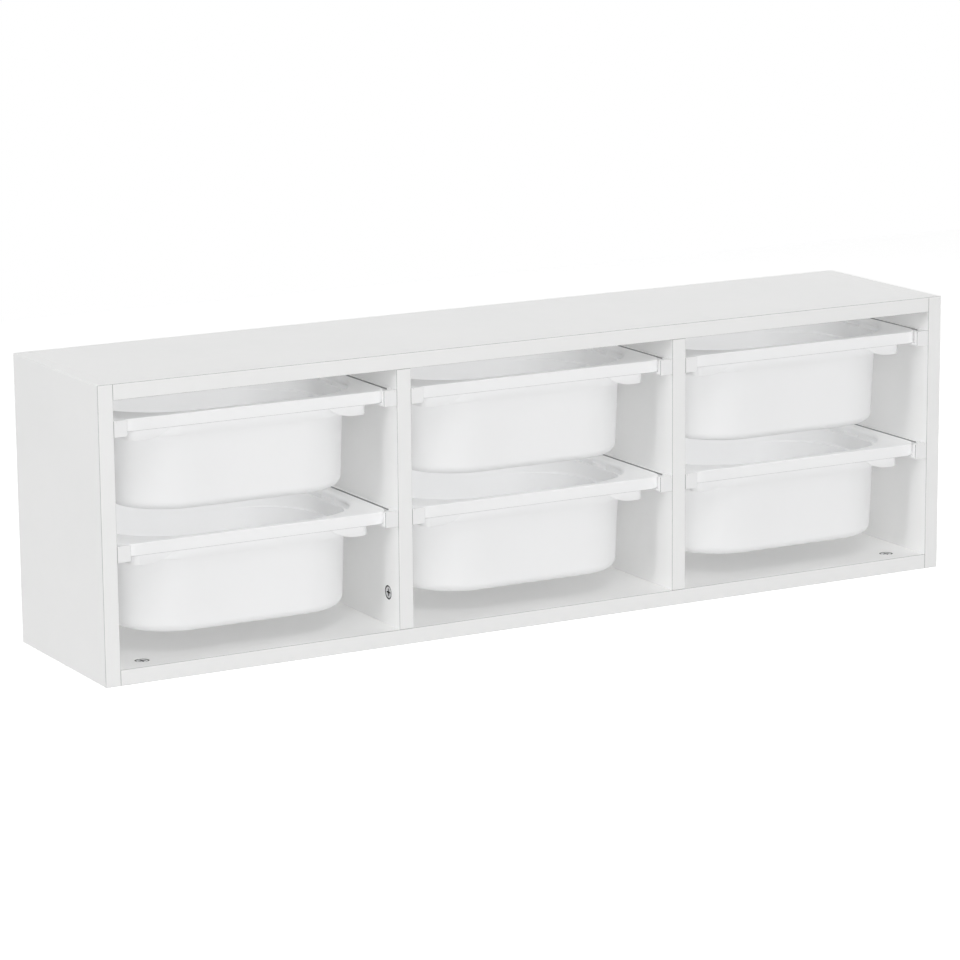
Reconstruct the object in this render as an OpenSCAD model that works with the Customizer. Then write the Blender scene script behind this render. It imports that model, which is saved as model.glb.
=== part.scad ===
// Wall shelf with three bays and six storage boxes.
// Each box hangs by its rim on two plastic rails, behind the stop at the front of each rail.
// Origin: middle of the footprint, on the underside of the bottom panel.
// X runs along the shelf, -Y is its open front and +Z is up. All sizes are in millimetres.

/* [Storage boxes] */
// Width of a box over its rim
box_w = 300; // [260:1:340]
// Depth of a box over its rim, front to back
box_d = 198.5; // [185:0.5:230]
// Height of a box, from its floor to the top of its rim
box_h = 100; // [80:1:130]
// Thickness of the moulded walls
box_wall = 2; // [1.6:0.1:2.6]
// Height of the turned-down edge that rests on the rails
apron_h = 12.5; // [10:0.5:15]
// Radius of the rim's outer corners, seen from above
rim_corner_r = 20; // [14:1:26]
// Rounding of the rim's outer top edge
rim_edge_r = 1; // [0.6:0.1:1.4]
// Breadth of the flat rim
rim_flat = 8; // [7:0.5:12]
// Radius of the roll from the rim into the opening
roll_r = 4; // [3:0.5:5]
// Radius of the opening's corners, seen from above
opening_r = 80; // [65:1:82]
// Depth of the end ledges below the rim
ledge_drop = 6.5; // [6:0.5:9]
// Breadth of the end ledges
ledge_w = 9.5; // [8:0.5:12]
// Radius of the ledges' inner edge, seen from above
ledge_r = 64; // [50:1:68]
// Depth at which the box narrows again, below the rim
step_drop = 22.5; // [18:0.5:26]
// Breadth of that step at the two ends
step_w = 3; // [2:0.5:8]
// Radius of the body's corners at the top, seen from above
body_r = 66; // [50:1:70]
// How much each side leans in from the step to the floor
draft = 3; // [2:0.5:6]
// Rounding of the bottom edge
bottom_r = 9; // [6:1:14]
// Radius of the shoulders' corners, seen from above
shoulder_r = 9; // [6:1:14]
// Length of the level part of a shoulder's lower edge
shoulder_flat = 16; // [12:0.5:24]
// Radius in which that edge rises toward the middle of the box
shoulder_rise_r = 45; // [30:1:60]

/* [Rails] */
// Thickness of the rail against the board
rail_plate = 2.8; // [2.4:0.1:4]
// How far the rail reaches into the bay
rail_reach = 14.5; // [13:0.5:16]
// Thickness of the ledge that carries the box
rail_ledge = 2.5; // [2:0.1:3.5]
// Height of the rail above the rim of the box
rail_top = 1; // [0.5:0.1:2]
// Depth of the stop at the front of the rail
stop_d = 5; // [4:0.5:6]
// Radius of the hollow behind the stop
pocket_r = 12; // [8:0.5:14]
// Rounding of the rail's free edges
rail_edge_r = 0.8; // [0.4:0.1:1.1]
// Distance of the screws from the front and from the back of the shelf
rail_screw_inset = 45; // [30:1:60]
// Distance of the screws below the rim of the box
rail_screw_drop = 5.5; // [4.5:0.5:7]

/* [Clearances] */
// Gap between a box and each rail
box_side_gap = 1.5; // [0.8:0.1:2.2]
// Distance of a box behind the front of the shelf
box_setback = 8; // [7.5:0.5:12]
// Gap between a box and the back panel
box_rear_gap = 0.5; // [0.4:0.1:3]
// Space above the rim of the upper boxes
top_clear = 21.5; // [18:0.5:40]
// Space between the rim of a lower box and the box above it
level_gap = 24; // [18:0.5:40]
// Space under the lower boxes
floor_clear = 22.5; // [10:0.5:40]
// Gap at the rear end of each rail
rail_end_gap = 0.3; // [0.2:0.1:1]
// Radial play of a fastener in its hole
hole_play = 0.05; // [0.03:0.01:0.1]
// Gap round the back panel in its recess
back_gap = 0.3; // [0.2:0.1:1]

/* [Cabinet] */
// Thickness of the boards
board_t = 16; // [15:0.5:22]
// Thickness of the back panel
back_t = 3; // [2.5:0.1:4]
// Height of the recess for the back panel in the top and bottom panels
rebate_h = 8; // [6:0.5:9]
// Rounding of the boards' edges
board_edge_r = 0.5; // [0.3:0.1:1.2]

/* [Cam fittings] */
// Diameter of a cam
cam_d = 15; // [12:0.5:16]
// How far a cam's face lies below the face of the board
cam_sunk = 0.5; // [0.2:0.1:1]
// How far a cam reaches past the middle of the board
cam_past_middle = 4.5; // [4:0.1:5]
// Distance of the cam's middle from the joint
cam_reach = 34; // [24:1:38]
// Distance of the front cams from the front edge
cam_front = 25; // [20:1:32]
// Distance of the rear cams from the rear edge
cam_rear = 45; // [38:1:55]
// Width of the arms of the cross recess
cross_w = 1.5; // [1:0.1:2]
// Length of the arms of the cross recess
cross_l = 8; // [6:0.5:9]
// Depth of the cross recess
cross_h = 1.8; // [1:0.1:2]
// Diameter of the bolt's thread
bolt_thread_d = 5; // [4.5:0.1:6]
// Length of the bolt's thread
bolt_thread_l = 11; // [8:0.5:12]
// Diameter of the bolt's shank
bolt_shank_d = 6.5; // [6:0.1:7]
// Diameter of the bolt's neck, which the cam grips
bolt_neck_d = 3.4; // [3:0.1:4]
// Diameter of the bore that the shank runs in
bolt_bore_d = 7; // [7:0.1:8]
// Play of the bolt's head and neck in the claw of the cam
claw_play = 0.3; // [0.2:0.05:0.5]

/* [Dowels] */
// Diameter of a dowel
dowel_d = 8; // [6:0.5:9]
// Length of a dowel
dowel_l = 30; // [25:1:35]
// How deep a dowel sits in the board that it meets at right angles
dowel_short = 10; // [8:0.5:11]
// Distance between a dowel and the cam beside it
dowel_step = 32; // [24:1:36]
// Gap at each end of a dowel
dowel_end_gap = 0.5; // [0.3:0.1:1]

/* [Rail screws] */
// Diameter of a rail screw
screw_d = 3.5; // [3:0.1:4]
// Diameter of its countersunk head
screw_head_d = 6.5; // [6:0.1:7]
// How deep the screw goes into the board
screw_bite = 6.5; // [5:0.5:7]

/* [Wall hangers] */
// Width of a hanger plate
hanger_w = 12; // [12:0.5:14]
// Length of a hanger plate
hanger_l = 46; // [44:1:60]
// Radius of a hanger plate's corners
hanger_corner_r = 3; // [1:0.5:5]
// Thickness of a hanger plate
hanger_t = 2; // [1.5:0.1:2.5]
// Distance of the plate's middle below the top of the shelf
hanger_drop = 42; // [36:1:60]
// Diameter of the hole that goes over the head of a wall screw
keyhole_d = 8; // [7.5:0.1:9]
// Width of the slot that drops onto the shank of a wall screw
keyhole_slot_w = 4.4; // [4:0.1:5]
// How far the plate drops onto the screw
keyhole_travel = 8; // [7:0.5:10]
// Depth of the hollow for the head of a wall screw
keyhole_depth = 8; // [5:0.5:12]
// Distance of each fixing screw from the plate's middle
hanger_screw_step = 17; // [16:0.5:18]
// Diameter of a fixing screw
hanger_screw_d = 3; // [2.5:0.1:3.5]
// Diameter of its countersunk head
hanger_screw_head_d = 5.6; // [5:0.1:6]
// Length of a fixing screw
hanger_screw_l = 20; // [16:1:25]

/* [Back panel nails] */
// Diameter of a nail
nail_d = 1.5; // [1.2:0.1:2]
// Diameter of a nail's head
nail_head_d = 3.6; // [3:0.1:4]
// Thickness of a nail's head
nail_head_h = 0.8; // [0.5:0.1:1]
// Length of a nail
nail_l = 25; // [20:1:28]
// Distance of a nail in the top or bottom panel from the middle of its bay
nail_bay_step = 77; // [40:1:120]
// Distance of a nail in a divider from the middle of the shelf's height
nail_divider_step = 60; // [30:1:90]

/* [Hidden] */
$fn = 64;

left = 0;
middle = 1;
right = 2;
lower = 0;
upper = 1;

// Overall sizes follow from the boxes and the gaps round them
bay_w = box_w + 2 * (rail_plate + box_side_gap);
inner_w = 3 * bay_w + 2 * board_t;
cabinet_w = inner_w + 2 * board_t;
cabinet_d = box_setback + box_d + box_rear_gap + back_t;
cabinet_h = 2 * board_t + floor_clear + 2 * box_h + level_gap + top_clear;
front_y = -cabinet_d / 2;
back_y = cabinet_d / 2;
back_face_y = back_y - back_t;
divider_x = (bay_w + board_t) / 2;

// Shortest straight left between two corners of an outline, as half a length
least_straight = 5;

// Outlines of the box, as half widths, half depths and corner radii, all on the inside
opening_hx = box_w / 2 - rim_flat;
opening_hy = box_d / 2 - rim_flat;
opening_corner = min(opening_r, opening_hy - least_straight);
lip_hx = opening_hx - roll_r;
inside_hy = opening_hy - roll_r;
lip_corner = opening_corner - roll_r;
ledge_hx = lip_hx - ledge_w;
ledge_corner = min(ledge_r, inside_hy - least_straight);
body_hx = ledge_hx - step_w;
body_corner = min(body_r - box_wall, inside_hy - least_straight);
shoulder_z = -step_drop - box_wall;

// Positions that several pieces share
cam_ys = [front_y + cam_front, back_y - cam_rear];
dowel_ys = [cam_ys[0] + dowel_step, cam_ys[1] - dowel_step];
rail_screw_ys = [rail_screw_inset, cabinet_d - rail_screw_inset];
cam_bore_h = board_t / 2 + cam_past_middle;
hanger_x = (cabinet_w - board_t) / 2;
hanger_z = cabinet_h - hanger_drop;
keyhole_z = hanger_z - keyhole_travel / 2;
nail_z = board_t - rebate_h / 2;

// How far a cut runs on past the face that it opens
through = 1;

board_colour = [0.93, 0.93, 0.93];
plastic_colour = [0.96, 0.96, 0.96];
steel_colour = [0.62, 0.63, 0.65];
wood_colour = [0.82, 0.7, 0.5];
hardboard_colour = [0.88, 0.88, 0.87];

function bay_x(bay) = (bay - middle) * (bay_w + board_t);
function rim_z(level) = board_t + floor_clear + box_h + level * (box_h + level_gap);

// Rectangle with round corners, given by its half sizes
module rounded(hx, hy, r) {
    square([2 * (hx - r), 2 * hy], center = true);
    square([2 * hx, 2 * (hy - r)], center = true);
    for (sx = [-1, 1], sy = [-1, 1])
        translate([sx * (hx - r), sy * (hy - r)]) circle(r);
}

// Carries a profile round a rectangle of corner centres; its x is the distance from them
module sweep_round(cx, cy) {
    for (sx = [0, 1], sy = [0, 1])
        mirror([sx, 0, 0]) mirror([0, sy, 0])
            translate([cx, cy, 0]) rotate_extrude(angle = 90) children();
    for (s = [0, 1]) {
        mirror([s, 0, 0]) translate([cx, cy, 0])
            rotate([90, 0, 0]) linear_extrude(2 * cy) children();
        rotate([0, 0, 90]) mirror([s, 0, 0]) translate([cy, cx, 0])
            rotate([90, 0, 0]) linear_extrude(2 * cx) children();
    }
}

// Carries a profile round and fills the middle between two heights
module swept_solid(cx, cy, low, high) {
    sweep_round(cx, cy) children();
    translate([-cx, -cy, low]) cube([2 * cx, 2 * cy, high - low]);
}

// Board standing on its footprint, with every edge rounded
module board(width, depth, height) {
    intersection() {
        linear_extrude(height) rounded(width / 2, depth / 2, board_edge_r);
        translate([0, depth / 2, height / 2]) rotate([90, 0, 0])
            linear_extrude(depth) rounded(width / 2, height / 2, board_edge_r);
        translate([-width / 2, 0, height / 2]) rotate([90, 0, 90])
            linear_extrude(width) rounded(depth / 2, height / 2, board_edge_r);
    }
}

// Flat slab with round corners between two heights
module slab(hx, hy, r, low, high) {
    translate([0, 0, low]) linear_extrude(high - low) rounded(hx, hy, r);
}

// Rim with its turned-down edge
module rim_profile() {
    translate([0, -box_wall]) square([rim_corner_r - rim_edge_r, box_wall]);
    translate([rim_corner_r - box_wall, -apron_h]) square([box_wall, apron_h - rim_edge_r]);
    translate([rim_corner_r - rim_edge_r, -rim_edge_r]) circle(rim_edge_r);
}

// Opening, which rolls inward from the rim to the ledge
module opening_profile() {
    translate([0, -ledge_drop]) square([lip_corner, ledge_drop + through]);
    difference() {
        translate([0, -roll_r]) square([opening_corner, roll_r + through]);
        translate([opening_corner, -roll_r]) circle(roll_r);
    }
}

// Body below the step: leaning sides and a rounded bottom edge
module body_profile(r, high, low, edge) {
    foot = r - draft;
    polygon([
        [0, high], [r, high], [foot, low + edge],
        [foot - edge, low + edge], [foot - edge, low], [0, low]
    ]);
    intersection() {
        translate([foot - edge, low + edge]) circle(edge);
        translate([foot - edge, low]) square([edge, edge]);
    }
}

// Wall of the shoulders, which carries the box's flat sides on to square corners
module shoulder_walls() {
    hx = ledge_hx + box_wall;
    hy = inside_hy + box_wall;
    difference() {
        rounded(hx, hy, shoulder_r);
        rounded(hx - box_wall, hy - box_wall, shoulder_r - box_wall);
    }
}

// Square shoulders under the rim at both ends, open underneath, with a lower edge that rises
// in an arc toward the middle of the box
module shoulders() {
    end_x = ledge_hx + box_wall;
    flat_x = end_x - shoulder_flat;
    intersection() {
        translate([0, 0, shoulder_z]) linear_extrude(-shoulder_z - box_wall) shoulder_walls();
        for (side = [-1, 1]) rotate([90, 0, 0]) linear_extrude(box_d, center = true)
            union() {
                translate([side * (flat_x + shoulder_flat / 2), shoulder_z / 2])
                    square([shoulder_flat, -shoulder_z], center = true);
                translate([side * flat_x, shoulder_z + shoulder_rise_r]) circle(shoulder_rise_r);
            }
    }
}

module storage_box(bay, level) {
    rim_cx = box_w / 2 - rim_corner_r;
    rim_cy = box_d / 2 - rim_corner_r;
    body_cx = body_hx - body_corner;
    body_cy = inside_hy - body_corner;
    color(plastic_colour)
    translate([bay_x(bay), front_y + box_setback + box_d / 2, rim_z(level)])
    difference() {
        union() {
            swept_solid(rim_cx, rim_cy, -box_wall, 0) rim_profile();
            slab(lip_hx + box_wall, inside_hy + box_wall, lip_corner + box_wall,
                -ledge_drop - box_wall, -box_wall);
            slab(ledge_hx + box_wall, inside_hy + box_wall, ledge_corner + box_wall,
                shoulder_z, -ledge_drop);
            swept_solid(body_cx, body_cy, -box_h, -step_drop)
                body_profile(body_corner + box_wall, -step_drop, -box_h, bottom_r);
            shoulders();
        }
        swept_solid(opening_hx - opening_corner, opening_hy - opening_corner, -ledge_drop, through)
            opening_profile();
        slab(ledge_hx, inside_hy, ledge_corner, -step_drop, -ledge_drop);
        swept_solid(body_cx, body_cy, box_wall - box_h, -step_drop)
            body_profile(body_corner, -step_drop, box_wall - box_h, bottom_r - box_wall);
    }
}

// Puts a rail's frame at one wall of a bay: x into the bay, y to the back, z from the rim's top
module at_rail(bay, level, wall) {
    translate([bay_x(bay), front_y, rim_z(level)])
        mirror([wall == right ? 1 : 0, 0, 0])
            translate([-bay_w / 2, 0, 0]) children();
}

// Puts a screw's frame at each rail screw: z out of the board, 0 on the board's face
module at_rail_screws(bay, level, wall) {
    at_rail(bay, level, wall)
        for (y = rail_screw_ys)
            translate([0, y, -rail_screw_drop]) rotate([0, 90, 0]) children();
}

// Section of a rail: plate on the board and ledge under the box
module rail_section() {
    foot = -apron_h - rail_ledge;
    translate([0, foot]) square([rail_plate, rail_top - foot - rail_edge_r]);
    translate([rail_edge_r, rail_top - rail_edge_r])
        square([rail_plate - 2 * rail_edge_r, rail_edge_r]);
    for (x = [rail_edge_r, rail_plate - rail_edge_r])
        translate([x, rail_top - rail_edge_r]) circle(rail_edge_r);
    translate([0, foot]) square([rail_reach - rail_edge_r, rail_ledge]);
    translate([rail_reach - rail_edge_r, foot + rail_edge_r])
        square([rail_edge_r, rail_ledge - rail_edge_r]);
    translate([rail_reach - rail_edge_r, foot + rail_edge_r]) circle(rail_edge_r);
}

// Front of a rail: full block that the rim can't pass, hollowed behind for the rim's corner
module stop_block() {
    foot = -apron_h - rail_ledge;
    pocket_y = stop_d + pocket_r;
    intersection() {
        rotate([90, 0, 0]) mirror([0, 0, 1]) linear_extrude(pocket_y) {
            translate([rail_edge_r, foot])
                square([rail_reach - 2 * rail_edge_r, rail_top - foot]);
            translate([0, foot + rail_edge_r])
                square([rail_reach, rail_top - foot - 2 * rail_edge_r]);
            translate([0, foot]) square(2 * rail_edge_r);
            translate([rail_edge_r, rail_top - rail_edge_r]) circle(rail_edge_r);
            for (z = [foot + rail_edge_r, rail_top - rail_edge_r])
                translate([rail_reach - rail_edge_r, z]) circle(rail_edge_r);
        }
        translate([0, 0, foot]) linear_extrude(rail_top - foot) difference() {
            union() {
                translate([0, rail_edge_r]) square([rail_reach, pocket_y - rail_edge_r]);
                square([rail_reach - rail_edge_r, rail_edge_r]);
                translate([rail_reach - rail_edge_r, rail_edge_r]) circle(rail_edge_r);
            }
            translate([rail_plate + pocket_r, pocket_y]) circle(pocket_r);
            translate([rail_plate + pocket_r, stop_d])
                square([rail_reach, pocket_y]);
        }
    }
}

// Countersunk screw along z, with its head at the top
module screw(d, head_d, high, low) {
    rotate_extrude() polygon([
        [0, low], [d / 2, low + d / 2], [d / 2, high - (head_d - d) / 2],
        [head_d / 2, high], [0, high]
    ]);
}

// Countersunk hole for such a screw
module screw_cut(d, head_d, high, low) {
    r = d / 2 + hole_play;
    head_r = head_d / 2 + hole_play;
    rotate_extrude() polygon([
        [0, low - hole_play], [r, low + d / 2 - hole_play], [r, high - (head_d - d) / 2],
        [head_r, high], [head_r, high + through], [0, high + through]
    ]);
}

module rail_screw_cut() {
    screw_cut(screw_d, screw_head_d, rail_plate, -screw_bite);
}

module rail(bay, level, wall) {
    rail_l = cabinet_d - back_t - rail_end_gap;
    color(plastic_colour)
    difference() {
        at_rail(bay, level, wall) {
            translate([0, rail_l, 0]) rotate([90, 0, 0])
                linear_extrude(rail_l - stop_d) rail_section();
            stop_block();
        }
        at_rail_screws(bay, level, wall) rail_screw_cut();
    }
}

module rail_screws() {
    color(steel_colour)
    for (bay = [left:right], level = [lower, upper], wall = [left, right])
        at_rail_screws(bay, level, wall)
            screw(screw_d, screw_head_d, rail_plate, -screw_bite);
}

// Frame of a joint between two boards: 0 on the joint, x into the board that holds the cam,
// z toward the face in which the cam shows
module at_corner_joints(ys, ends, heights) {
    for (end = ends, height = heights, y = ys)
        mirror([end == right ? 1 : 0, 0, 0])
            translate([-inner_w / 2, y, cabinet_h / 2])
                mirror([0, 0, height]) translate([0, 0, board_t / 2 - cabinet_h / 2]) children();
}

module at_divider_foot(ys, side) {
    mirror([side == right ? 1 : 0, 0, 0])
        for (y = ys) translate([-divider_x, y, board_t]) rotate([0, -90, 0]) children();
}

module at_divider_head(ys, side) {
    mirror([side == right ? 1 : 0, 0, 0])
        for (y = ys) translate([-divider_x, y, cabinet_h - board_t]) rotate([0, 90, 0]) children();
}

// Bolt that screws into one board and is drawn in by the cam in the other
module cam_bolt() {
    thread_r = bolt_thread_d / 2;
    shank_r = bolt_shank_d / 2;
    neck_r = bolt_neck_d / 2;
    shank_end = cam_reach - cam_d / 2 - neck_r / 2;
    head_start = cam_reach - neck_r;
    rotate([0, 90, 0]) rotate_extrude() polygon([
        [0, -bolt_thread_l], [thread_r / 2, -bolt_thread_l],
        [thread_r, thread_r / 2 - bolt_thread_l], [thread_r, 0], [shank_r, 0],
        [shank_r, shank_end], [neck_r, shank_end], [neck_r, head_start],
        [shank_r, head_start + neck_r / 2], [shank_r, cam_reach + neck_r / 2],
        [neck_r, cam_reach + neck_r], [0, cam_reach + neck_r]
    ]);
}

// Holes for the bolt and its cam, cut through both boards of a joint
module cam_joint_cut() {
    rotate([0, 90, 0]) {
        translate([0, 0, -bolt_thread_l - dowel_end_gap])
            cylinder(r = bolt_thread_d / 2 + hole_play, h = bolt_thread_l + dowel_end_gap);
        cylinder(d = bolt_bore_d, h = cam_reach);
    }
    translate([cam_reach, 0, board_t / 2 - cam_bore_h])
        cylinder(r = cam_d / 2 + hole_play, h = cam_bore_h + through);
}

// Cam with a cross recess in its face and an open claw underneath for the bolt's head
module cam_lock() {
    neck_w = bolt_neck_d + 2 * claw_play;
    head_w = bolt_shank_d + 2 * claw_play;
    foot_z = board_t / 2 - cam_bore_h;
    face_z = board_t / 2 - cam_sunk;
    floor_z = foot_z - through;
    cavity_x = -bolt_neck_d / 2 - claw_play;
    translate([cam_reach, 0, 0]) difference() {
        translate([0, 0, foot_z]) cylinder(d = cam_d, h = face_z - foot_z);
        translate([-cam_d, -neck_w / 2, floor_z])
            cube([cam_d, neck_w, neck_w / 2 - floor_z]);
        translate([cavity_x, -head_w / 2, floor_z])
            cube([-2 * cavity_x, head_w, head_w / 2 - floor_z]);
        for (turn = [0, 90]) rotate([0, 0, turn])
            translate([-cross_l / 2, -cross_w / 2, face_z - cross_h])
                cube([cross_l, cross_w, cross_h + through]);
    }
}

module dowel() {
    r = dowel_d / 2;
    chamfer = r / 4;
    rotate([0, 90, 0]) translate([0, 0, -dowel_short]) rotate_extrude() polygon([
        [0, 0], [r - chamfer, 0], [r, chamfer],
        [r, dowel_l - chamfer], [r - chamfer, dowel_l], [0, dowel_l]
    ]);
}

module dowel_cut() {
    rotate([0, 90, 0]) translate([0, 0, -dowel_short - dowel_end_gap])
        cylinder(r = dowel_d / 2 + hole_play, h = dowel_l + 2 * dowel_end_gap);
}

module cam_locks() {
    color(steel_colour) {
        at_corner_joints(cam_ys, [left, right], [lower, upper]) cam_lock();
        for (side = [left, right]) at_divider_foot(cam_ys, side) cam_lock();
    }
}

module cam_bolts() {
    color(steel_colour) {
        at_corner_joints(cam_ys, [left, right], [lower, upper]) cam_bolt();
        for (side = [left, right]) at_divider_foot(cam_ys, side) cam_bolt();
    }
}

module dowels() {
    color(wood_colour) {
        at_corner_joints(dowel_ys, [left, right], [lower, upper]) dowel();
        for (side = [left, right]) {
            at_divider_foot(dowel_ys, side) dowel();
            at_divider_head(dowel_ys, side) dowel();
        }
    }
}

// Frame on the rear edge of a side panel: y up, z out of the back
module at_hanger(side) {
    mirror([side == right ? 1 : 0, 0, 0])
        translate([-hanger_x, back_y, hanger_z]) rotate([90, 0, 180]) children();
}

// Outline of the keyhole: a round hole with a slot above it
module keyhole(hole_d, slot_w) {
    translate([0, -keyhole_travel / 2]) circle(d = hole_d);
    translate([0, keyhole_travel / 2]) circle(d = slot_w);
    translate([-slot_w / 2, -keyhole_travel / 2]) square([slot_w, keyhole_travel]);
}

module hanger_outline(play) {
    rounded(hanger_w / 2 + play, hanger_l / 2 + play, hanger_corner_r + play);
}

module hanger_screw_cuts() {
    for (s = [-1, 1]) translate([0, s * hanger_screw_step, 0])
        screw_cut(hanger_screw_d, hanger_screw_head_d, 0, -hanger_screw_l);
}

// Pocket for the plate, with a deeper hollow in which the head of a wall screw moves
module hanger_cut() {
    hollow_w = keyhole_d + 2 * through;
    translate([0, 0, -hanger_t]) linear_extrude(hanger_t + through) hanger_outline(hole_play);
    translate([0, 0, -hanger_t - keyhole_depth]) linear_extrude(keyhole_depth + hanger_t)
        keyhole(hollow_w, hollow_w);
    hanger_screw_cuts();
}

module hanger_plate(side) {
    color(steel_colour)
    at_hanger(side) difference() {
        translate([0, 0, -hanger_t]) linear_extrude(hanger_t) difference() {
            hanger_outline(0);
            keyhole(keyhole_d, keyhole_slot_w);
        }
        hanger_screw_cuts();
    }
}

module hanger_screws() {
    color(steel_colour)
    for (side = [left, right], s = [-1, 1])
        at_hanger(side) translate([0, s * hanger_screw_step, 0])
            screw(hanger_screw_d, hanger_screw_head_d, 0, -hanger_screw_l);
}

// Frame of each nail on the back panel: z out of the back
module at_nails() {
    for (bay = [left:right], s = [-1, 1], z = [nail_z, cabinet_h - nail_z])
        translate([bay_x(bay) + s * nail_bay_step, back_y, z]) rotate([90, 0, 180]) children();
    for (side = [-1, 1], s = [-1, 1])
        translate([side * divider_x, back_y, cabinet_h / 2 + s * nail_divider_step])
            rotate([90, 0, 180]) children();
}

module nail(play) {
    r = nail_d / 2 + play;
    head_r = nail_head_d / 2 + play;
    rotate_extrude() polygon([
        [0, -nail_l - play], [r, nail_d - nail_l - play], [r, -nail_head_h],
        [head_r, -nail_head_h], [head_r, play], [0, play]
    ]);
}

module nail_cut() {
    nail(hole_play);
}

module back_panel_nails() {
    color(steel_colour) at_nails() nail(0);
}

module side_panel(side) {
    color(board_colour)
    mirror([side == right ? 1 : 0, 0, 0]) difference() {
        translate([(board_t - cabinet_w) / 2, 0, 0]) board(board_t, cabinet_d, cabinet_h);
        at_corner_joints(cam_ys, [left], [lower, upper]) cam_joint_cut();
        at_corner_joints(dowel_ys, [left], [lower, upper]) dowel_cut();
        for (level = [lower, upper]) at_rail_screws(left, level, left) rail_screw_cut();
        at_hanger(left) hanger_cut();
    }
}

// Board across the shelf, in the place of the bottom panel
module cross_panel() {
    difference() {
        board(inner_w, cabinet_d, board_t);
        translate([-inner_w / 2 - through, back_face_y, board_t - rebate_h])
            cube([inner_w + 2 * through, back_t + through, rebate_h + through]);
        at_corner_joints(cam_ys, [left, right], [lower]) cam_joint_cut();
        at_corner_joints(dowel_ys, [left, right], [lower]) dowel_cut();
        for (side = [left, right]) at_divider_foot(dowel_ys, side) dowel_cut();
        at_nails() nail_cut();
    }
}

module bottom_panel() {
    color(board_colour) difference() {
        cross_panel();
        for (side = [left, right]) at_divider_foot(cam_ys, side) cam_joint_cut();
    }
}

module top_panel() {
    color(board_colour) translate([0, 0, cabinet_h]) mirror([0, 0, 1]) cross_panel();
}

module divider(side) {
    depth = cabinet_d - back_t;
    color(board_colour)
    mirror([side == right ? 1 : 0, 0, 0]) difference() {
        translate([-divider_x, -back_t / 2, board_t])
            board(board_t, depth, cabinet_h - 2 * board_t);
        at_divider_foot(cam_ys, left) cam_joint_cut();
        at_divider_foot(dowel_ys, left) dowel_cut();
        at_divider_head(dowel_ys, left) dowel_cut();
        for (level = [lower, upper]) {
            at_rail_screws(left, level, right) rail_screw_cut();
            at_rail_screws(middle, level, left) rail_screw_cut();
        }
        at_nails() nail_cut();
    }
}

module back_panel() {
    height = cabinet_h - 2 * (board_t - rebate_h + back_gap);
    color(hardboard_colour) difference() {
        translate([back_gap - inner_w / 2, back_face_y, (cabinet_h - height) / 2])
            cube([inner_w - 2 * back_gap, back_t, height]);
        at_nails() nail_cut();
    }
}

side_panel(left);  // side_panel_left
side_panel(right);  // side_panel_right
top_panel();
bottom_panel();
divider(left);  // divider_left
divider(right);  // divider_right
back_panel();
rail(left, upper, left);  // rail_left_bay_upper_left
rail(left, upper, right);  // rail_left_bay_upper_right
rail(left, lower, left);  // rail_left_bay_lower_left
rail(left, lower, right);  // rail_left_bay_lower_right
rail(middle, upper, left);  // rail_middle_bay_upper_left
rail(middle, upper, right);  // rail_middle_bay_upper_right
rail(middle, lower, left);  // rail_middle_bay_lower_left
rail(middle, lower, right);  // rail_middle_bay_lower_right
rail(right, upper, left);  // rail_right_bay_upper_left
rail(right, upper, right);  // rail_right_bay_upper_right
rail(right, lower, left);  // rail_right_bay_lower_left
rail(right, lower, right);  // rail_right_bay_lower_right
storage_box(left, upper);  // box_left_upper
storage_box(left, lower);  // box_left_lower
storage_box(middle, upper);  // box_middle_upper
storage_box(middle, lower);  // box_middle_lower
storage_box(right, upper);  // box_right_upper
storage_box(right, lower);  // box_right_lower
cam_locks();
cam_bolts();
dowels();
rail_screws();
hanger_plate(left);  // hanger_plate_left
hanger_plate(right);  // hanger_plate_right
hanger_screws();
back_panel_nails();
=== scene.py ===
"""White wall shelf with six storage boxes, as in its product photo.

Sizes are in millimetres. The shelf's middle is at x 0 and y 0, its open front at -Y and its underside at z 0.
"""

import math

import bmesh
import bpy
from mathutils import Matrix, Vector


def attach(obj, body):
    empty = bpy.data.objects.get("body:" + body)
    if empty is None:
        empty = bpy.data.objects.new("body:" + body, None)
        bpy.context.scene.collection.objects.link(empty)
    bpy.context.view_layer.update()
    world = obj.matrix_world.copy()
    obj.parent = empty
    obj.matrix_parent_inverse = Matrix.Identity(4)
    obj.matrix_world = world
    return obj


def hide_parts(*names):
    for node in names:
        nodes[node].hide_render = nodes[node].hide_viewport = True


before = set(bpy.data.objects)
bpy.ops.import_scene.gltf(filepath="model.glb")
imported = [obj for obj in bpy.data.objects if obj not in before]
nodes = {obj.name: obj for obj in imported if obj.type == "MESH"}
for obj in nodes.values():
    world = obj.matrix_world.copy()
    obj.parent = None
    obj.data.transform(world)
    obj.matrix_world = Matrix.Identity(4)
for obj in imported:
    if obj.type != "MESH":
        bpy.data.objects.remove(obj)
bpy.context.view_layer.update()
scene = bpy.context.scene
MM = 0.001

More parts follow.
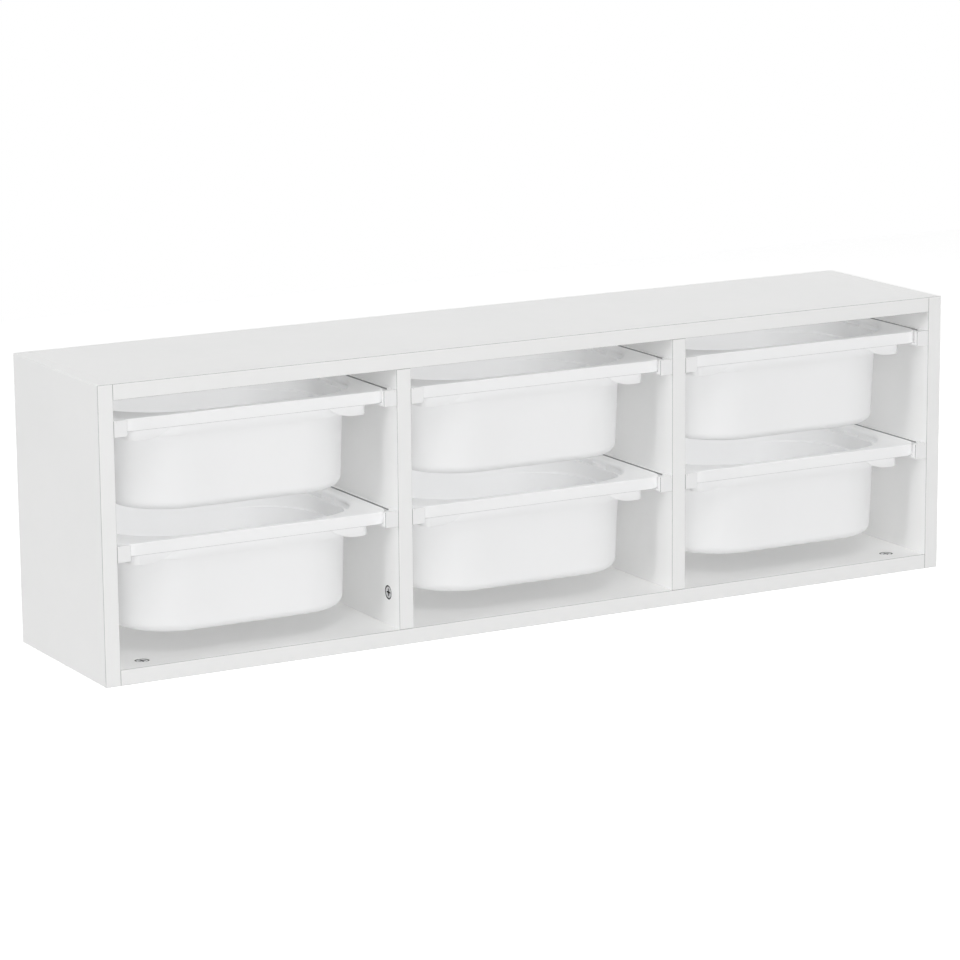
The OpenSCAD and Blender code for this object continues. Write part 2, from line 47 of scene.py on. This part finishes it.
# Boxes. Depths count from the top of the rim, and the radii of the opening, ledge and body are those inside
BOX_W = 300.0
BOX_D = 198.5
BOX_H = 100.0
WALL = 2.0
APRON_H = 12.5
RIM_CORNER_R = 20.0
RIM_EDGE_R = 1.0
RIM_FLAT = 8.0
ROLL_R = 4.0
OPENING_R = 80.0
LEDGE_DROP = 6.5
LEDGE_W = 9.5
LEDGE_R = 64.0
STEP_DROP = 22.5
STEP_W = 3.0
BODY_R = 64.0
DRAFT = 3.0
BOTTOM_R = 9.0
SHOULDER_R = 9.0
SHOULDER_FLAT = 16.0
SHOULDER_RISE_R = 45.0
INSIDE_Y = BOX_D / 2 - RIM_FLAT - ROLL_R
LIP_X = BOX_W / 2 - RIM_FLAT - ROLL_R
LEDGE_X = LIP_X - LEDGE_W
BODY_X = LEDGE_X - STEP_W
SHOULDER_X = LEDGE_X + WALL
SHOULDER_Y = INSIDE_Y + WALL

# Rails
RAIL_PLATE = 2.8
RAIL_REACH = 14.5
RAIL_TOP = 1.0
BOX_SIDE_GAP = 1.5

# Cabinet
BOARD_T = 16.0
BACK_T = 3.0
BOX_SETBACK = 8.0
BOX_REAR_GAP = 0.5
FLOOR_CLEAR = 22.5
LEVEL_GAP = 24.0
TOP_CLEAR = 21.5
BAY_W = BOX_W + 2 * (RAIL_PLATE + BOX_SIDE_GAP)
BAY_STEP = BAY_W + BOARD_T
CABINET_W = 3 * BAY_W + 4 * BOARD_T
CABINET_D = BOX_SETBACK + BOX_D + BOX_REAR_GAP + BACK_T
CABINET_H = 2 * (BOARD_T + BOX_H) + FLOOR_CLEAR + LEVEL_GAP + TOP_CLEAR
FRONT_Y = -CABINET_D / 2
LEVEL_STEP = BOX_H + LEVEL_GAP
RIM_LOW_Z = BOARD_T + FLOOR_CLEAR + BOX_H
RIM_Z = {"lower": RIM_LOW_Z, "upper": RIM_LOW_Z + LEVEL_STEP}
BOX_Y = FRONT_Y + BOX_SETBACK + BOX_D / 2
BAYS = {"left": -1, "middle": 0, "right": 1}

# Cams, which stand in a front and a rear row. CAM_FACE_R is the radius of the plain part of their face,
# outside which painted shade darkens the rim where it meets the bore
CAM_FRONT_Y = FRONT_Y + 25.0
CAM_REAR_Y = CABINET_D / 2 - 45.0
CAM_REACH = 34.0
CAM_SUNK = 0.5
CAM_FACE_R = 5.8

# Steps along a quarter circle and along the long and short sides of a box's outline
ARC_STEPS = 20
LONG_STEPS = 8
SHORT_STEPS = 3

# Signs of a rectangle's corners, counterclockwise
CORNERS = ((1, 1), (-1, 1), (-1, -1), (1, -1))


def rgb(value):
    return (*value, 1.0)


class Tree:
    """A node tree, with short ways to add to it."""

    def __init__(self, tree):
        self.nodes = tree.nodes
        self.links = tree.links

    def feed(self, node, inputs):
        """Links each input that is given an output, and sets each other one."""
        for key, value in inputs.items():
            if isinstance(value, bpy.types.NodeSocket):
                self.links.new(value, node.inputs[key])
            else:
                node.inputs[key].default_value = value

    def add(self, kind, inputs=None):
        node = self.nodes.new("ShaderNode" + kind)
        self.feed(node, inputs or {})
        return node

    def calc(self, operation, *values):
        node = self.add("Math", dict(enumerate(values)))
        node.operation = operation
        return node.outputs["Value"]

    def vector(self, operation, *values):
        node = self.add("VectorMath", dict(enumerate(values)))
        node.operation = operation
        return node.outputs["Value" if operation == "LENGTH" else "Vector"]

    def seen_by_eye(self):
        """1 for camera, glossy and transmission rays, else 0."""
        rays = self.add("LightPath").outputs
        seen = self.calc("MAXIMUM", rays["Is Camera Ray"], rays["Is Glossy Ray"])
        return self.calc("MAXIMUM", seen, rays["Is Transmission Ray"])


class Surface(Tree):
    """A material with a Principled shader. Noise scales are per metre, and places in millimetres."""

    def __init__(self, name, color, roughness, gloss=0.5, metal=0.0):
        self.mat = bpy.data.materials.new(name)
        self.mat.use_nodes = True
        super().__init__(self.mat.node_tree)
        self.shade({"Base Color": rgb(color), "Roughness": roughness, "Specular IOR Level": gloss,
                    "Metallic": metal})

    def shade(self, inputs):
        self.feed(self.nodes["Principled BSDF"], inputs)

    def coords(self):
        return self.add("TexCoord").outputs["Object"]

    def noise(self, scale, detail=3.0, rough=0.5, coords=None):
        inputs = {"Vector": coords or self.coords(), "Scale": scale, "Detail": detail, "Roughness": rough}
        return self.add("TexNoise", inputs).outputs["Fac"]

    def ramp(self, fac, low, high):
        """Runs from one colour to another over the middle of a noise."""
        node = self.add("ValToRGB", {"Fac": fac})
        for stop, position, color in zip(node.color_ramp.elements, (0.35, 0.65), (low, high)):
            stop.position = position
            stop.color = rgb(color)
        return node.outputs["Color"]

    def spread(self, fac, low, high):
        """Runs from one number to another over the middle of a noise."""
        inputs = {"Value": fac, "From Min": 0.3, "From Max": 0.7, "To Min": low, "To Max": high}
        return self.add("MapRange", inputs).outputs["Result"]

    def bump(self, height, strength, depth):
        inputs = {"Height": height, "Strength": strength, "Distance": depth * MM}
        return self.add("Bump", inputs).outputs["Normal"]

    def tint(self, color, fac, tint):
        return self.add("MixRGB", {"Fac": fac, "Color1": color, "Color2": rgb(tint)}).outputs["Color"]

    def axis(self, name):
        return self.add("SeparateXYZ", {"Vector": self.coords()}).outputs[name]

    def fold(self, axis, start, length):
        """Distance along an axis from the nearest of the places that repeat from start every two lengths."""
        return self.calc("PINGPONG", self.calc("SUBTRACT", self.axis(axis), start * MM), length * MM)

    def between(self, value, low, high):
        """1 where a coordinate or distance of Blender's lies between low and high, else 0."""
        return self.calc("COMPARE", value, (low + high) / 2 * MM, (high - low) / 2 * MM)

    def both(self, a, b):
        return self.calc("MULTIPLY", a, b)

    def either(self, first, *others):
        for other in others:
            first = self.calc("MAXIMUM", first, other)
        return first

    def distance(self, a, b):
        return self.vector("LENGTH", self.add("CombineXYZ", {"X": a, "Y": b}).outputs["Vector"])

    def from_core(self, half_x, half_y, corner):
        """Distance from the core of a round rectangle, which is the corner's radius all along its outline."""
        core = ((half_x - corner) * MM, (half_y - corner) * MM, 0)
        flat = self.vector("MULTIPLY", self.coords(), (1, 1, 0))
        beyond = self.vector("SUBTRACT", self.vector("ABSOLUTE", flat), core)
        return self.vector("LENGTH", self.vector("MAXIMUM", beyond, (0, 0, 0)))


def white_foil():
    """Satin white foil on particleboard: a faint cloudiness and a fine orange peel. A hair-thin line of
    painted shade runs round the rounded front edges."""
    s = Surface("white_foil", (0.875, 0.875, 0.87), 0.42, 0.35)
    cloudy = s.ramp(s.noise(7.0, 4.0), (0.866, 0.868, 0.864), (0.882, 0.882, 0.878))
    # Painted shade: a hair-thin dark line on the rounded front edges
    front_edge_shade = s.between(s.axis("Y"), FRONT_Y + 0.04, FRONT_Y + 0.5)
    s.shade({
        "Base Color": s.tint(cloudy, front_edge_shade, (0.38, 0.38, 0.375)),
        "Roughness": s.spread(s.noise(60.0), 0.38, 0.47),
        "Normal": s.bump(s.noise(1400.0, 2.0), 0.05, 0.2),
    })
    return s.mat


def white_hardboard():
    """White painted hardboard: matt, with a fine pressed grain."""
    s = Surface("white_hardboard", (0.85, 0.85, 0.845), 0.55, 0.3)
    s.shade({
        "Base Color": s.ramp(s.noise(11.0, 5.0), (0.835, 0.837, 0.832), (0.86, 0.86, 0.855)),
        "Roughness": s.spread(s.noise(90.0), 0.5, 0.6),
        "Normal": s.bump(s.noise(900.0, 4.0), 0.12, 0.3),
    })
    return s.mat


def box_plastic():
    """Moulded polypropylene: white, a little glossy, with the mould's fine spark texture and a thin line of
    painted shade along the outer foot of the turned-down edge, where shade falls under it."""
    s = Surface("box_plastic", (0.93, 0.932, 0.935), 0.4, 0.4)
    plain = s.ramp(s.noise(9.0), (0.925, 0.927, 0.93), (0.935, 0.937, 0.94))
    from_core = s.from_core(BOX_W / 2, BOX_D / 2, RIM_CORNER_R)
    outside = s.between(from_core, RIM_CORNER_R - 0.5, RIM_CORNER_R + 0.1)
    # Painted shade: a thin dark line along the foot of the apron's outside
    apron_foot_shade = s.between(s.axis("Z"), -APRON_H - 0.01, -APRON_H + 0.4)
    s.shade({
        "Base Color": s.tint(plain, s.both(outside, apron_foot_shade), (0.5, 0.5, 0.505)),
        "Roughness": s.spread(s.noise(40.0, 4.0), 0.34, 0.44),
        "Normal": s.bump(s.noise(2200.0, 2.0), 0.04, 0.2),
    })
    return s.mat


def rail_plastic():
    """Moulded rail plastic, a touch greyer and more matt than the boxes. Thin dark lines of painted shade lie
    where a rail meets its board, in the gap to the rim of the box and on the inner edge of the stop block."""
    s = Surface("rail_plastic", (0.87, 0.87, 0.872), 0.48, 0.35)
    plain = s.ramp(s.noise(14.0), (0.862, 0.863, 0.865), (0.878, 0.879, 0.881))
    from_bay = s.fold("X", 0.0, BAY_STEP / 2)
    from_rim = s.fold("Z", RIM_LOW_Z, LEVEL_STEP / 2)
    board_x = BAY_W / 2
    plate_x = board_x - RAIL_PLATE
    stop_x = board_x - RAIL_REACH
    top = RAIL_TOP + 0.1
    # Painted shade: dark lines where the plate meets the board, in the gap to the rim and on the stop block's
    # inner edge
    wall_shade = s.between(from_bay, board_x - 0.25, board_x + 0.1)
    gap = s.both(s.between(from_bay, plate_x - 0.05, plate_x + 0.05), s.between(from_rim, -top, top))
    stop = s.both(s.between(from_bay, stop_x - 0.1, stop_x + 0.3),
                  s.between(s.axis("Y"), FRONT_Y - 0.1, FRONT_Y + 0.8))
    s.shade({
        "Base Color": s.tint(plain, s.either(wall_shade, gap, stop), (0.3, 0.3, 0.3)),
        "Roughness": s.spread(s.noise(70.0), 0.44, 0.54),
        "Normal": s.bump(s.noise(1800.0, 2.0), 0.05, 0.2),
    })
    return s.mat


def zinc():
    """Dull zinc plating with a faint mottle."""
    s = Surface("zinc", (0.6, 0.6, 0.61), 0.42, metal=1.0)
    s.shade({
        "Base Color": s.ramp(s.noise(500.0, 4.0), (0.54, 0.54, 0.55), (0.66, 0.66, 0.67)),
        "Roughness": s.spread(s.noise(900.0), 0.36, 0.5),
    })
    return s.mat


def cam_zinc():
    """Zinc cams: a bright face, with painted shade in the cross recess and round the rim where it meets the
    bore.
    """
    s = Surface("cam_zinc", (0.7, 0.7, 0.71), 0.45, metal=1.0)
    from_middle = s.calc("ABSOLUTE", s.axis("X"))
    from_row = s.fold("Y", CAM_FRONT_Y, (CAM_REAR_Y - CAM_FRONT_Y) / 2)
    corner_x = s.calc("SUBTRACT", from_middle, (CABINET_W / 2 - BOARD_T - CAM_REACH) * MM)
    divider_z = s.calc("SUBTRACT", s.axis("Z"), (BOARD_T + CAM_REACH) * MM)
    from_axis = s.calc("MINIMUM", s.distance(from_row, corner_x), s.distance(from_row, divider_z))
    divider_face = BAY_STEP / 2 + BOARD_T / 2 - CAM_SUNK
    panel_face = BOARD_T - CAM_SUNK
    faces = s.either(
        s.between(from_middle, divider_face - 0.1, divider_face + 0.1),
        s.between(s.axis("Z"), panel_face - 0.05, panel_face + 0.05),
        s.between(s.axis("Z"), CABINET_H - panel_face - 0.05, CABINET_H - panel_face + 0.05),
    )
    unshaded_face = s.both(faces, s.between(from_axis, -CAM_FACE_R, CAM_FACE_R))
    # Painted shade: the cam is dark everywhere but its plain face, in the cross recess and round the rim
    recess_shade = s.ramp(s.noise(500.0, 4.0), (0.05, 0.05, 0.05), (0.1, 0.1, 0.1))
    s.shade({
        "Base Color": s.tint(recess_shade, unshaded_face, (0.8, 0.8, 0.81)),
        "Roughness": s.spread(s.noise(900.0), 0.4, 0.5),
    })
    return s.mat


def beech():
    """Raw beech, with the grain along the dowels."""
    s = Surface("beech", (0.62, 0.44, 0.28), 0.6, 0.3)
    along = s.add("Mapping", {"Vector": s.coords(), "Scale": (0.15, 1.0, 1.0)}).outputs["Vector"]
    grain = s.noise(160.0, 6.0, 0.6, along)
    s.shade({
        "Base Color": s.ramp(grain, (0.52, 0.35, 0.21), (0.7, 0.52, 0.34)),
        "Normal": s.bump(grain, 0.2, 0.3),
    })
    return s.mat


MATERIALS = {
    "white_board": white_foil(),
    "white_back": white_hardboard(),
    "box_plastic": box_plastic(),
    "rail_plastic": rail_plastic(),
    "zinc": zinc(),
    "cam_zinc": cam_zinc(),
    "beech": beech(),
}


def slot_of(name):
    if name == "back_panel":
        return "white_back"
    if name == "dowels":
        return "beech"
    if name == "cam_locks":
        return "cam_zinc"
    if name.startswith(("cam_bolts", "hanger_", "rail_screws", "back_panel_nails")):
        return "zinc"
    if name.startswith("rail_"):
        return "rail_plastic"
    if name.startswith("box_"):
        return "box_plastic"
    return "white_board"


def dress(obj, slot):
    obj.data.materials.clear()
    obj.data.materials.append(MATERIALS[slot])


def arc(centre, radius, start, end, steps):
    """Points of an arc in a plane, with angles counted from its first axis."""
    angles = [math.radians(start + (end - start) * i / steps) for i in range(steps + 1)]
    return [(centre[0] + radius * math.cos(a), centre[1] + radius * math.sin(a)) for a in angles]


class Outline:
    """Round rectangle, given by its half sizes and its corners' radius."""

    def __init__(self, half_x, half_y, corner):
        self.half_x = half_x
        self.half_y = half_y
        self.corner = corner

    def grown(self, by):
        return Outline(self.half_x + by, self.half_y + by, self.corner + by)

    def points(self):
        """Its points, counterclockwise from +X. Every outline has the same number of them."""
        r = self.corner
        cx = self.half_x - r
        cy = self.half_y - r
        points = []
        for k, (sx, sy) in enumerate(CORNERS):
            points += [Vector(p) for p in arc((sx * cx, sy * cy), r, 90 * k, 90 * (k + 1), ARC_STEPS)]
            start = points[-1]
            next_x, next_y = CORNERS[(k + 1) % 4]
            side = Vector(((next_x - sx) * cx, (next_y - sy) * cy))
            steps = LONG_STEPS if k % 2 == 0 else SHORT_STEPS
            points += [start + side * i / steps for i in range(1, steps)]
        return points


def ring(outline, z):
    return [Vector((p.x, p.y, z)) for p in outline.points()]


def wall_foot(start, z):
    """Profile of the rounded lower edge of a wall that begins at start, as pairs of distance and height."""
    r = 0.5
    return (arc((start + r, z + r), r, 180, 270, 3)
            + arc((start + WALL - r, z + r), r, 270, 360, 3))


def carry(outline, profile):
    """Rings that carry a profile round an outline. Its pairs are the distance outside it and the height."""
    return [ring(outline.grown(out), z) for out, z in profile]


def turn(here, there, z, toward, r):
    """Rings that round the corner between a wall on one outline and a step at height z that leads to
    another. toward is +1 where the wall stands above the step and -1 where it hangs below."""
    steps = 4
    pairs = list(zip(here.points(), there.points()))
    rings = []
    for i in range(steps + 1):
        a = math.radians(90 * i / steps)
        row = []
        for p, q in pairs:
            gap = (q - p).length
            reach = min(r, gap / 2)
            way = (q - p) / gap if gap > 1e-6 else Vector((0, 0))
            s = p + way * reach * (1 - math.cos(a))
            row.append(Vector((s.x, s.y, z + toward * reach * (1 - math.sin(a)))))
        rings.append(row)
    return rings


def step(first, second, z, first_wall, second_wall, r):
    """Rings of a level step between two walls, with both of its corners rounded."""
    return turn(first, second, z, first_wall, r) + turn(second, first, z, second_wall, r)[::-1]


def tub_rings():
    """Rings of a box, from the middle of its underside outside, round its rim and down its inside."""
    rim = Outline(BOX_W / 2, BOX_D / 2, RIM_CORNER_R)
    lip = Outline(LIP_X, INSIDE_Y, OPENING_R - ROLL_R)
    ledge = Outline(LEDGE_X, INSIDE_Y, LEDGE_R)
    body = Outline(BODY_X, INSIDE_Y, BODY_R)
    # The outer walls lie a little inside the faces of the shoulders
    outer_wall = WALL - 0.3
    ledge_out = ledge.grown(outer_wall)
    body_out = body.grown(outer_wall)
    lip_out = lip.grown(WALL)
    step_z = -STEP_DROP - WALL
    bottom_centre = (WALL - DRAFT - BOTTOM_R, BOTTOM_R - BOX_H)
    outer_r, rim_r, inner_r = 0.8, 0.6, 1.2
    rings = carry(body, arc(bottom_centre, BOTTOM_R, -90, 0, 8))
    rings.append(ring(body_out, step_z - outer_r))
    rings += step(body_out, ledge_out, step_z, -1, 1, outer_r)[1:]
    rings += step(ledge_out, lip_out, -LEDGE_DROP - WALL, -1, 1, outer_r)
    rings += step(lip_out, rim.grown(-WALL), -WALL, -1, -1, rim_r)
    rings += carry(rim, wall_foot(-WALL, -APRON_H))
    rings += carry(rim, arc((-RIM_EDGE_R, -RIM_EDGE_R), RIM_EDGE_R, 0, 90, 5))
    rings += carry(lip, arc((ROLL_R, -ROLL_R), ROLL_R, 90, 180, 8))
    rings += step(lip, ledge, -LEDGE_DROP, 1, -1, inner_r)
    rings += step(ledge, body, -STEP_DROP, 1, -1, inner_r)
    rings += carry(body, arc(bottom_centre, BOTTOM_R - WALL, 0, -90, 8))
    return rings


def loft(bm, rings):
    """Skins a list of closed rings and caps both ends."""
    rows = [[bm.verts.new(p * MM) for p in row] for row in rings]
    count = len(rows[0])
    for a, b in zip(rows, rows[1:]):
        for i in range(count):
            j = (i + 1) % count
            bm.faces.new((a[i], a[j], b[j], b[i]))
    bm.faces.new(rows[0][::-1])
    bm.faces.new(rows[-1])


def shoulder_path():
    """Outside of a shoulder in plan: on from the flat front, round the corner, along the end and, over its
    last points, into the wall of the tub."""
    front = [(x, SHOULDER_Y) for x in range(72, 117, 4)]
    corner = arc((SHOULDER_X - SHOULDER_R, SHOULDER_Y - SHOULDER_R), SHOULDER_R, 90, 0, 12)
    side = [(SHOULDER_X, y) for y in range(70, 33, -9)]
    into_tub = [(SHOULDER_X - sunk, y) for sunk, y in ((0.2, 26), (0.7, 20), (1.2, 14))]
    return [Vector(point) for point in front + corner + side + into_tub]


def shoulder_low(x):
    """Height of a shoulder's lower edge, which rises in an arc toward the middle of the box."""
    longest_run = 38.0
    run = min(max(SHOULDER_X - SHOULDER_FLAT - x, 0.0), longest_run)
    return SHOULDER_RISE_R - STEP_DROP - WALL - math.sqrt(SHOULDER_RISE_R ** 2 - run ** 2)


def offset_path(points, d):
    """The path moved sideways by d, to the right of its direction, and less over its last points."""
    taper = 6
    out = []
    last = len(points) - 1
    for i, p in enumerate(points):
        a = points[max(i - 1, 0)]
        b = points[min(i + 1, last)]
        t = (b - a).normalized()
        out.append(p + Vector((t.y, -t.x)) * d * min(1.0, (last - i + 1) / taper))
    return out


def shoulder(bm, side, end):
    """One shoulder: a wall with rounded lower edges, open underneath, tucked into the rim."""
    path = shoulder_path()
    tuck = 0.5
    grid = []
    for d, rise in [(0.0, None)] + wall_foot(0.0, 0.0) + [(WALL, None)]:
        row = []
        for p, q in zip(path, offset_path(path, d)):
            z = tuck - WALL if rise is None else shoulder_low(p.x) + rise
            row.append(bm.verts.new(Vector((side * q.x, end * q.y, z)) * MM))
        grid.append(row)
    for a, b in zip(grid, grid[1:] + grid[:1]):
        for i in range(len(path) - 1):
            bm.faces.new((a[i], a[i + 1], b[i + 1], b[i]))
    bm.faces.new([row[0] for row in grid])
    bm.faces.new([row[-1] for row in grid[::-1]])


def box_mesh():
    bm = bmesh.new()
    loft(bm, tub_rings())
    for side in (1, -1):
        for end in (1, -1):
            shoulder(bm, side, end)
    bmesh.ops.remove_doubles(bm, verts=bm.verts, dist=0.02 * MM)
    bmesh.ops.recalc_face_normals(bm, faces=bm.faces)
    for face in bm.faces:
        face.smooth = True
    mesh = bpy.data.meshes.new("storage_box")
    bm.to_mesh(mesh)
    bm.free()
    mesh.materials.append(MATERIALS["box_plastic"])
    return mesh


def build_boxes():
    mesh = box_mesh()
    for bay, place in BAYS.items():
        for level, z in RIM_Z.items():
            name = "box_%s_%s" % (bay, level)
            obj = bpy.data.objects.new("tub_%s_%s" % (bay, level), mesh)
            scene.collection.objects.link(obj)
            obj.location = Vector((place * BAY_STEP, BOX_Y, z)) * MM
            obj.modifiers.new("even shading", "WEIGHTED_NORMAL")
            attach(obj, name)
            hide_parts(name)


def light_world():
    """Even white light; camera, glossy and transmission rays see plain white."""
    world = bpy.data.worlds.new("white room")
    scene.world = world
    world.use_nodes = True
    world.node_tree.nodes.clear()
    tree = Tree(world.node_tree)
    lit = tree.add("Background", {"Color": rgb((1, 1, 1)), "Strength": 0.11})
    seen = tree.add("Background", {"Color": rgb((1, 1, 1)), "Strength": 1.0})
    mix = tree.add("MixShader", {"Fac": tree.seen_by_eye(), 1: lit.outputs[0], 2: seen.outputs[0]})
    tree.add("OutputWorld", {"Surface": mix.outputs[0]})


def pale_floor():
    """Pale grey that keeps the shadow, and looks white to the eye."""
    s = Surface("pale_floor", (0.4, 0.4, 0.4), 0.8)
    glow = s.add("Emission", {"Strength": s.calc("MULTIPLY", s.seen_by_eye(), 0.84)})
    both = s.add("AddShader", {0: s.nodes["Principled BSDF"].outputs[0], 1: glow.outputs[0]})
    s.feed(s.nodes["Material Output"], {"Surface": both.outputs[0]})
    return s.mat


def lay_floor():
    """Square floor, well below the hanging shelf."""
    half = 9000.0
    z = -1300.0
    mesh = bpy.data.meshes.new("floor")
    mesh.from_pydata([Vector((x * half, y * half, z)) * MM for x, y in CORNERS], [], [(0, 1, 2, 3)])
    mesh.materials.append(pale_floor())
    floor = bpy.data.objects.new("floor", mesh)
    scene.collection.objects.link(floor)


def lamp(name, azimuth, elevation, level, size, gloss=True, shadow=True):
    """Soft square lamp aimed at the shelf, with its size in metres. The azimuth is 0 in front and 90 at the
    right. level is the brightness that it gives a white face turned to it. A lamp without shadow is a fill,
    because the photo shows almost none in the bays."""
    distance = 8.0
    a, e = math.radians(azimuth), math.radians(elevation)
    aim = Vector((0.0, 0.0, CABINET_H / 2 * MM))
    away = Vector((math.sin(a) * math.cos(e), -math.cos(a) * math.cos(e), math.sin(e)))
    data = bpy.data.lights.new(name, "AREA")
    data.shape = "SQUARE"
    data.size = size
    data.energy = level * (math.pi * distance) ** 2
    data.use_shadow = shadow
    obj = bpy.data.objects.new(name, data)
    scene.collection.objects.link(obj)
    obj.location = aim + away * distance
    obj.visible_glossy = gloss
    obj.rotation_mode = "QUATERNION"
    obj.rotation_quaternion = away.to_track_quat("Z", "Y")


def place_camera():
    """The photo's camera, fitted to the shelf's corners and edges."""
    place = Vector((-1961.25, -3499.64, 994.61))
    degrees = (77.88126, 0.48186, -29.14878)
    data = bpy.data.cameras.new("camera")
    data.sensor_width = 36.0
    data.lens = 146.44
    data.clip_start = 0.05
    data.clip_end = 100.0
    obj = bpy.data.objects.new("camera", data)
    scene.collection.objects.link(obj)
    obj.location = place * MM
    obj.rotation_euler = [math.radians(angle) for angle in degrees]
    scene.camera = obj


scene.view_settings.view_transform = "Standard"
for name, obj in nodes.items():
    dress(obj, slot_of(name))
build_boxes()
light_world()
lay_floor()
lamp("key", -29, 12, 0.12, 4.0)
lamp("front_high", -15, 55, 0.175, 3.0)
lamp("left", -85, 8, 0.375, 1.8, gloss=False)
lamp("rear", 180, 25, 0.45, 4.0, gloss=False)
lamp("right", 95, 20, 0.3, 4.0, gloss=False)
lamp("fill_front", -20, 5, 0.38, 4.0, gloss=False, shadow=False)
lamp("fill_top", 0, 80, 0.21, 4.0, gloss=False, shadow=False)
lamp("fill_right", 60, 5, 0.15, 4.0, gloss=False, shadow=False)
place_camera()
